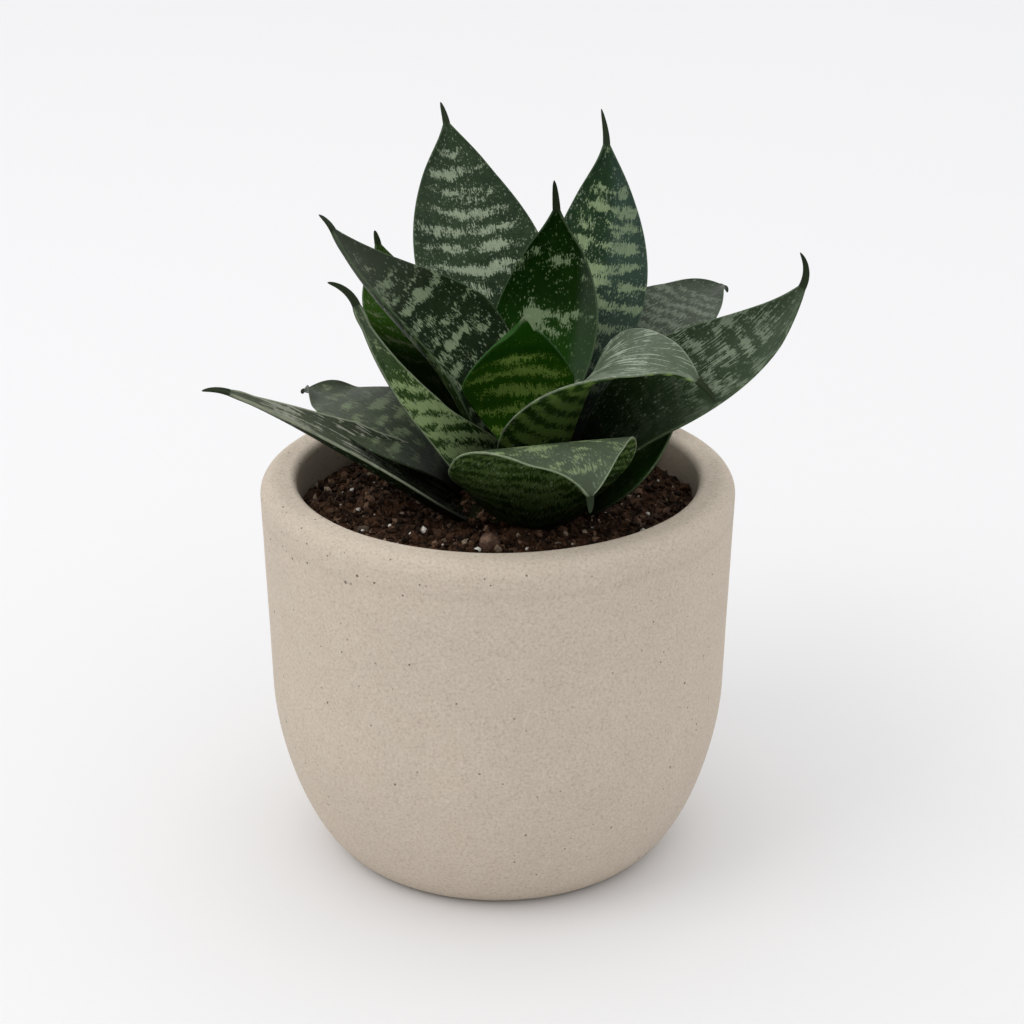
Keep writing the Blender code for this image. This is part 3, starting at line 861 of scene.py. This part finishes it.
def bandsGroup():
    # cross bands: a wave along the leaf, bent by slow wander and by the shift of each thin fibre, cut by patches
    ins = {"Place": (0.0, 0.0, 0.0), "Edge": (0.0, 0.0, 0.0), "Spacing": 5.0, "Phase": 0.0, "Ragged": 1.0,
           "Patchy": 1.0, "Cover": 0.45, "Specks": 0.3, "Seed": 0.0, "Until": 0.85, "Lean": 0.0, "Arch": 0.0,
           "SideFade": 0.3, "Streaky": 0.0, "RimWidth": 0.4}
    tree, take, give = newGroup("leafBands", ins, "Bands", "Specks", "Fibre", "Slow", "Mottle", "Rim", "Spike")
    shift = join(tree, times(tree, take["Seed"], 17.3), times(tree, take["Seed"], 9.1), take["Seed"])
    across, along = split(tree, take["Place"])[:2]
    fromEdge, share = split(tree, take["Edge"])[:2]
    offMiddle = calc(tree, "ABSOLUTE", across)
    side = calc(tree, "DIVIDE", offMiddle, calc(tree, "ADD", calc(tree, "ADD", offMiddle, fromEdge), 0.001))
    sideSquare = times(tree, side, side)

    def streak(acrossScale, alongScale, detail=2.0):
        # noise from -0.5 to 0.5, in cells per millimetre across and along
        drawn = stretch(tree, take["Place"], (acrossScale, alongScale, 1.0), shift)
        return calc(tree, "SUBTRACT", cloud(tree, drawn, 1.0, detail, 0.6), 0.5)

    bend = timesPlus(tree, streak(0.055, 0.03, 1.0), 9.0, along)
    bend = timesPlus(tree, across, take["Lean"], bend)
    bend = timesPlus(tree, sideSquare, take["Arch"], bend)
    jag = times(tree, streak(0.9, 0.07), 7.0)
    jag = timesPlus(tree, streak(2.9, 0.22, 3.0), 8.0, jag)
    bend = timesPlus(tree, jag, take["Ragged"], bend)
    turns = calc(tree, "ADD", calc(tree, "DIVIDE", bend, take["Spacing"]), take["Phase"])
    wave = calc(tree, "COSINE", times(tree, turns, 2.0 * np.pi))
    level = times(tree, streak(0.12, 0.17), times(tree, take["Patchy"], 5.0))
    level = timesPlus(tree, wave, 0.5, level)
    level = calc(tree, "ADD", level, take["Cover"])
    level = timesPlus(tree, streak(2.2, 1.0, 4.0), 2.6, level)
    level = timesPlus(tree, times(tree, streak(1.7, 0.05), 4.0), take["Streaky"], level)
    level = calc(tree, "SUBTRACT", level, times(tree, sideSquare, take["SideFade"]))
    closing = spread(tree, share, take["Until"], calc(tree, "ADD", take["Until"], 0.12), 0.0, 0.9)
    level = calc(tree, "SUBTRACT", level, closing)
    feed(tree, give["Bands"], spread(tree, level, 0.30, 0.72))
    crowd = times(tree, take["Specks"], spread(tree, streak(0.2, 0.12), -0.15, 0.2, 0.15, 1.6))
    dots = 0.0
    for acrossScale, alongScale in ((0.8, 0.5), (1.5, 0.95)):
        distance, pick, size = cells(tree, stretch(tree, take["Place"], (acrossScale, alongScale, 1.0), shift))
        keep = calc(tree, "LESS_THAN", pick, crowd)
        dot = spread(tree, timesPlus(tree, streak(4.0, 2.0, 1.0), 0.5, distance), 0.10, 0.36, 1.0, 0.0)
        dots = calc(tree, "MAXIMUM", dots, times(tree, dot, keep))
    feed(tree, give["Specks"], dots)
    feed(tree, give["Fibre"], calc(tree, "ADD", streak(5.5, 0.10), 0.5))
    feed(tree, give["Slow"], calc(tree, "ADD", streak(0.05, 0.035), 0.5))
    mottle = timesPlus(tree, streak(0.45, 0.3, 4.0), 0.8, streak(2.4, 1.2, 3.0))
    feed(tree, give["Mottle"], spread(tree, mottle, -0.16, 0.16))
    wornRim = timesPlus(tree, streak(0.5, 0.16, 3.0), 0.5, fromEdge)
    feed(tree, give["Rim"], spread(tree, wornRim, times(tree, take["RimWidth"], 0.4), take["RimWidth"], 1.0, 0.0))
    feed(tree, give["Spike"], spread(tree, share, 0.975, 1.02))
    return tree


leafBands = bandsGroup()
bandKeys = ("spacing", "phase", "ragged", "patchy", "cover", "specks", "seed", "until", "lean", "arch", "sideFade",
            "streaky", "rimWidth")

# dark, mid: ground greens.  pale, fleck: bands and specks.  fresh: brighter green from freshFrom down to freshTo.
# bloom: waxy grey that also stands in for painted sheen, from its start along the blade to the tip.
# sheen: painted sheen, the same grey laid from one distance across the blade to another.
# shade: painted shade, how dark the base goes between shadeFrom and shadeTo, and a value above 1 paints light there
# instead.  bandFrom: bands are faint nearer the base.
# spacing, phase, lean, arch: where the bands run.  ragged, patchy, streaky: how broken they are.  until: their end.
baseLook = {
    "dark": (0.006, 0.018, 0.005),
    "mid": (0.026, 0.046, 0.020),
    "pale": (0.290, 0.345, 0.240),
    "fresh": (0.016, 0.055, 0.006),
    "fleck": (0.26, 0.31, 0.23),
    # waxy grey that also serves as painted sheen
    "bloomAndSheen": (0.090, 0.112, 0.088),
    "rim": (0.09, 0.13, 0.07),
    "spikeColour": (0.022, 0.032, 0.016),
    "freshAmount": 0.0, "freshFrom": 0.55, "freshTo": 0.2,
    "spacing": 8.0, "phase": 0.0, "ragged": 1.0, "patchy": 1.0, "cover": 0.3, "specks": 0.35, "until": 0.82,
    "lean": 0.0, "arch": 0.0, "sideFade": 0.35, "streaky": 0.0,
    "bloomAndSheenBase": 0.0, "bloomAndSheenTip": 0.2, "sheenFrom": 0.0, "sheenTo": 1.0, "sheenAmount": 0.0,
    "bandAmount": 0.95, "rimAmount": 0.5, "rimWidth": 0.35,
    "bandFrom": -1.0, "rough": 0.36, "gloss": 0.05, "shade": 0.2, "shadeFrom": 0.02, "shadeTo": 0.45,
    "bloomAndSheenFrom": 0.25, "seed": 1.0,
}

looks = {
    "leaf_heart": dict(
        dark=(0.007, 0.05, 0.002), mid=(0.016, 0.075, 0.004), pale=(0.34, 0.52, 0.11), fresh=(0.05, 0.17, 0.007),
        freshAmount=0.55, freshFrom=0.72, freshTo=0.52, fleck=(0.14, 0.22, 0.05), spacing=9.5, phase=0.92, arch=-4.0,
        cover=0.5, patchy=0.45, specks=0.1, until=0.6, bloomAndSheenTip=0.0, sideFade=0.5, shade=2.0, rim=(0.05, 0.1, 0.04),
        spikeColour=(0.1, 0.14, 0.07), gloss=0.03, seed=2.0),
    "leaf_centre": dict(
        dark=(0.002, 0.013, 0.001), mid=(0.006, 0.024, 0.002), pale=(0.2, 0.27, 0.15), fleck=(0.15, 0.22, 0.1),
        fresh=(0.012, 0.055, 0.003), freshAmount=0.55, freshFrom=0.72, freshTo=0.45, spacing=18.0, phase=0.5,
        cover=-0.06, ragged=1.5, specks=0.4, bloomAndSheenTip=0.0, sheenFrom=-7.0, sheenTo=-12.0, sheenAmount=0.35, shade=0.8,
        gloss=0.02, seed=3.0),
    "leaf_back_left": dict(
        spacing=8.5, phase=0.18, cover=0.26, patchy=0.7, specks=0.45, sideFade=0.6, until=0.86, bloomAndSheenTip=0.1,
        seed=4.0),
    "leaf_back_right": dict(
        dark=(0.003, 0.016, 0.003), mid=(0.015, 0.04, 0.011), pale=(0.26, 0.34, 0.18), spacing=7.6, phase=0.42,
        cover=0.46, patchy=0.9, sideFade=0.6, bloomAndSheen=(0.05, 0.08, 0.075), bloomAndSheenTip=0.12, sheenTo=-5.0,
        sheenAmount=0.45, specks=0.5, shade=0.0, shadeTo=0.62, seed=5.0),
    "leaf_front_right": dict(
        dark=(0.014, 0.03, 0.011), mid=(0.075, 0.105, 0.06), pale=(0.4, 0.45, 0.35), bloomAndSheen=(0.2, 0.24, 0.18),
        spacing=16.0, lean=0.8, cover=0.02, ragged=0.6, bloomAndSheenTip=0.5, streaky=2.6, rim=(0.3, 0.34, 0.26),
        rimWidth=0.5, seed=6.0),
    "leaf_upper_left": dict(
        dark=(0.002, 0.009, 0.001), mid=(0.012, 0.024, 0.008), pale=(0.22, 0.28, 0.17), bloomAndSheen=(0.13, 0.145, 0.115),
        spacing=5.6, phase=0.2, lean=0.2, cover=0.18, patchy=1.1, sideFade=0.5, specks=0.45, bloomAndSheenFrom=0.6,
        bloomAndSheenTip=0.75, until=0.75, seed=7.0),
    "leaf_left": dict(
        dark=(0.004, 0.018, 0.001), mid=(0.04, 0.08, 0.02), pale=(0.33, 0.44, 0.2), bloomAndSheen=(0.1, 0.12, 0.085),
        spacing=7.6, phase=0.3, lean=-1.17, cover=0.72, patchy=0.6, sideFade=0.2, specks=0.2, bloomAndSheenFrom=0.6,
        bloomAndSheenTip=0.55, until=0.6, rimAmount=0.8, rim=(0.22, 0.27, 0.17), seed=8.0),
    "leaf_rear_left": dict(
        dark=(0.012, 0.04, 0.004), mid=(0.05, 0.09, 0.02), pale=(0.17, 0.21, 0.1), fresh=(0.034, 0.09, 0.01),
        freshAmount=0.9, freshFrom=0.88, freshTo=0.66, bloomAndSheenTip=0.0, bloomAndSheen=(0.003, 0.008, 0.002), cover=0.0,
        shade=0.1, shadeFrom=0.4, shadeTo=0.8, gloss=0.0, seed=9.0),
    "leaf_right": dict(
        dark=(0.003, 0.014, 0.001), mid=(0.02, 0.04, 0.012), pale=(0.28, 0.34, 0.24), bloomAndSheen=(0.11, 0.145, 0.1),
        spacing=6.2, phase=0.4, cover=0.2, streaky=1.1, specks=0.4, bandFrom=0.56, bloomAndSheenTip=0.55, until=0.9,
        shade=0.0, shadeTo=0.55, seed=10.0),
    "leaf_rear_right": dict(
        dark=(0.02, 0.032, 0.016), mid=(0.055, 0.07, 0.045), pale=(0.17, 0.21, 0.15), spacing=5.7, phase=0.2,
        cover=0.4, patchy=0.5, bloomAndSheenBase=0.15, bloomAndSheenTip=0.3, seed=11.0),
    "leaf_front": dict(
        dark=(0.01, 0.026, 0.005), mid=(0.036, 0.062, 0.022), pale=(0.29, 0.38, 0.17), spacing=3.5, phase=0.1,
        cover=0.12, arch=-4.0, until=0.84, bloomAndSheenTip=0.5, bloomAndSheen=(0.13, 0.155, 0.11), rimAmount=0.9, rimWidth=0.5,
        rim=(0.26, 0.31, 0.2), seed=12.0),
    "leaf_low_right": dict(
        dark=(0.008, 0.032, 0.002), mid=(0.03, 0.08, 0.009), pale=(0.09, 0.13, 0.05), cover=-0.3, bloomAndSheenTip=0.1,
        specks=0.2, rimAmount=0.8, seed=13.0),
    "leaf_low_rear_left": dict(
        dark=(0.012, 0.026, 0.008), mid=(0.055, 0.075, 0.04), pale=(0.19, 0.25, 0.13), bloomAndSheen=(0.12, 0.13, 0.11),
        bloomAndSheenBase=0.1, bloomAndSheenTip=0.5, cover=0.15, specks=0.2, spacing=6.0, streaky=0.6, shade=0.0, shadeTo=0.6,
        seed=14.0),
    "leaf_low_left": dict(
        dark=(0.018, 0.03, 0.01), mid=(0.06, 0.078, 0.048), pale=(0.38, 0.39, 0.32), bloomAndSheen=(0.2, 0.21, 0.17),
        bloomAndSheenTip=0.4, cover=-0.1, spacing=30.0, ragged=0.3, streaky=2.4, specks=0.1, rimAmount=0.9, rimWidth=0.5,
        rim=(0.28, 0.31, 0.22), seed=15.0),
}

underLooks = {
    "leaf_front": dict(
        seed=31.0, dark=(0.003, 0.014, 0.001), mid=(0.022, 0.05, 0.006), pale=(0.095, 0.15, 0.045), cover=0.62,
        spacing=4.5, patchy=0.5, bloomAndSheenTip=0.0, until=1.2, gloss=0.03, rimAmount=0.5),
    "leaf_front_right": dict(
        seed=32.0, dark=(0.004, 0.026, 0.001), mid=(0.036, 0.085, 0.01), pale=(0.2, 0.32, 0.075), cover=0.62,
        spacing=6.0, patchy=0.5, lean=0.6, bloomAndSheenTip=0.0, until=1.2, gloss=0.03, streaky=0.0, rimAmount=0.6),
    "leaf_left": dict(
        seed=33.0, dark=(0.02, 0.03, 0.02), mid=(0.06, 0.074, 0.06), pale=(0.11, 0.13, 0.1), cover=0.0, bloomAndSheenTip=0.4,
        shade=0.0, shadeTo=0.9, rimAmount=0.3),
    "leaf_upper_left": dict(
        seed=34.0, dark=(0.003, 0.012, 0.001), mid=(0.014, 0.03, 0.006), pale=(0.06, 0.09, 0.035), spacing=4.5,
        cover=0.4, specks=0.2, bloomAndSheenTip=0.5, gloss=0.03),
    "leaf_right": dict(
        seed=35.0, dark=(0.003, 0.012, 0.001), mid=(0.014, 0.032, 0.006), bloomAndSheenTip=0.3, streaky=0.4),
    "leaf_low_left": dict(
        seed=36.0, dark=(0.002, 0.008, 0.001), mid=(0.008, 0.015, 0.005), pale=(0.05, 0.07, 0.04),
        bloomAndSheen=(0.04, 0.05, 0.035), bloomAndSheenTip=0.2, streaky=0.4),
}


def leafMaterial(name, look):
    material, tree, shader = newMaterial(name)
    edge = uvPlace(tree, "leafEdge")
    place = uvPlace(tree, "leafPlace")
    marks = useGroup(tree, leafBands, Place=place, Edge=edge,
                     **{key[0].upper() + key[1:]: look[key] for key in bandKeys})
    share = split(tree, edge)[1]
    across = split(tree, place)[0]
    slowPart = spread(tree, marks["Slow"], 0.35, 0.65)
    ground = calc(tree, "MULTIPLY_ADD", slowPart, 0.55, times(tree, marks["Mottle"], 0.55), clamp=True)
    colour = blendColour(tree, ground, look["dark"], look["mid"])
    fresh = spread(tree, share, look["freshTo"], look["freshFrom"], look["freshAmount"], 0.0)
    fullBand = spread(tree, marks["Fibre"], 0.3, 0.6, 0.6 * look["bandAmount"], look["bandAmount"])
    begun = spread(tree, share, look["bandFrom"] - 0.08, look["bandFrom"] + 0.08, 0.12, 1.0)
    bands = times(tree, marks["Bands"], times(tree, fullBand, begun))
    # waxy grey bloom towards the tip, also standing in for painted sheen
    bloomAndSheen = spread(tree, share, look["bloomAndSheenFrom"], 0.95, look["bloomAndSheenBase"], look["bloomAndSheenTip"])
    bloomAndSheen = times(tree, bloomAndSheen, spread(tree, marks["Slow"], 0.65, 0.35, 0.5, 1.0))
    # painted sheen: the same grey laid across one side of the blade, where a reflection falls
    sheen = spread(tree, across, look["sheenFrom"], look["sheenTo"], 0.0, look["sheenAmount"])
    sheen = times(tree, sheen, spread(tree, marks["Slow"], 0.3, 0.7, 0.6, 1.0))
    worn = spread(tree, marks["Fibre"], 0.35, 0.6, 0.6 * look["rimAmount"], look["rimAmount"])
    specks = times(tree, marks["Specks"], 0.6)
    rim = times(tree, marks["Rim"], worn)
    for amount, key in ((fresh, "fresh"), (bands, "pale"), (specks, "fleck"), (bloomAndSheen, "bloomAndSheen"), (sheen, "bloomAndSheen"),
                        (rim, "rim"), (marks["Spike"], "spikeColour")):
        colour = blendColour(tree, amount, colour, look[key])
    # painted shade towards the base of the blade, where the rosette is dark; a shade above 1 paints light there
    # instead
    depth = spread(tree, share, look["shadeFrom"], look["shadeTo"], look["shade"], 1.0)
    colour = blendColour(tree, 1.0, colour, join(tree, depth, depth, depth), "MULTIPLY")
    rough = spread(tree, marks["Fibre"], 0.3, 0.7, look["rough"] - 0.05, look["rough"] + 0.08)
    height = timesPlus(tree, marks["Bands"], 0.12, marks["Fibre"])
    dress(tree, shader, colour, rough, look["gloss"], bumpFrom(tree, height, 0.35, 0.00025))
    return material


def buildLeaf(node):
    leaf = leaves[node]
    points, pattern, edges = leafPoints(leaf)
    name = node.replace("leaf_", "") + "Blade"
    mesh = tubeMesh(name, points, points[0].mean(axis=0), points[-1].mean(axis=0))
    extra = np.array([[0.0, 0.0], [0.0, leaf["length"] + leaf["spike"]]])
    putUv(mesh, "leafPlace", np.vstack([pattern.reshape(-1, 2), extra]))
    putUv(mesh, "leafEdge", np.vstack([edges.reshape(-1, 2), [[9.0, 0.0], [0.0, 2.0]]]))
    look = {**baseLook, **looks[node]}
    mesh.materials.append(leafMaterial(name + "Top", look))
    mesh.materials.append(leafMaterial(name + "Under", {**look, **underLooks.get(node, {})}))
    column = np.arange(len(mesh.polygons)) % points.shape[1]
    under = (column >= blade["columns"] - 1).astype(np.int32)
    mesh.polygons.foreach_set("material_index", under)
    piece = addPiece(name, mesh, node)


for node in leaves:
    buildLeaf(node)
print("leaves:", len(leaves))


# crown

def crownMaterial():
    material, tree, shader = newMaterial("crownFlesh")
    streak = cloud(tree, stretch(tree, objectPlace(tree), (260.0, 260.0, 60.0)), 1.0, 3.0)
    # painted shade: the crown is coloured nearly black, as it sits in the dark heart of the rosette
    colour = blendColour(tree, spread(tree, streak, 0.35, 0.65), (0.008, 0.010, 0.003), (0.024, 0.022, 0.009))
    dress(tree, shader, colour, 0.8, 0.05, bumpFrom(tree, streak, 0.4, 0.0005))
    return material


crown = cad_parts["crown"]
crown.data.materials.clear()
crown.data.materials.append(crownMaterial())
print("crown painted")
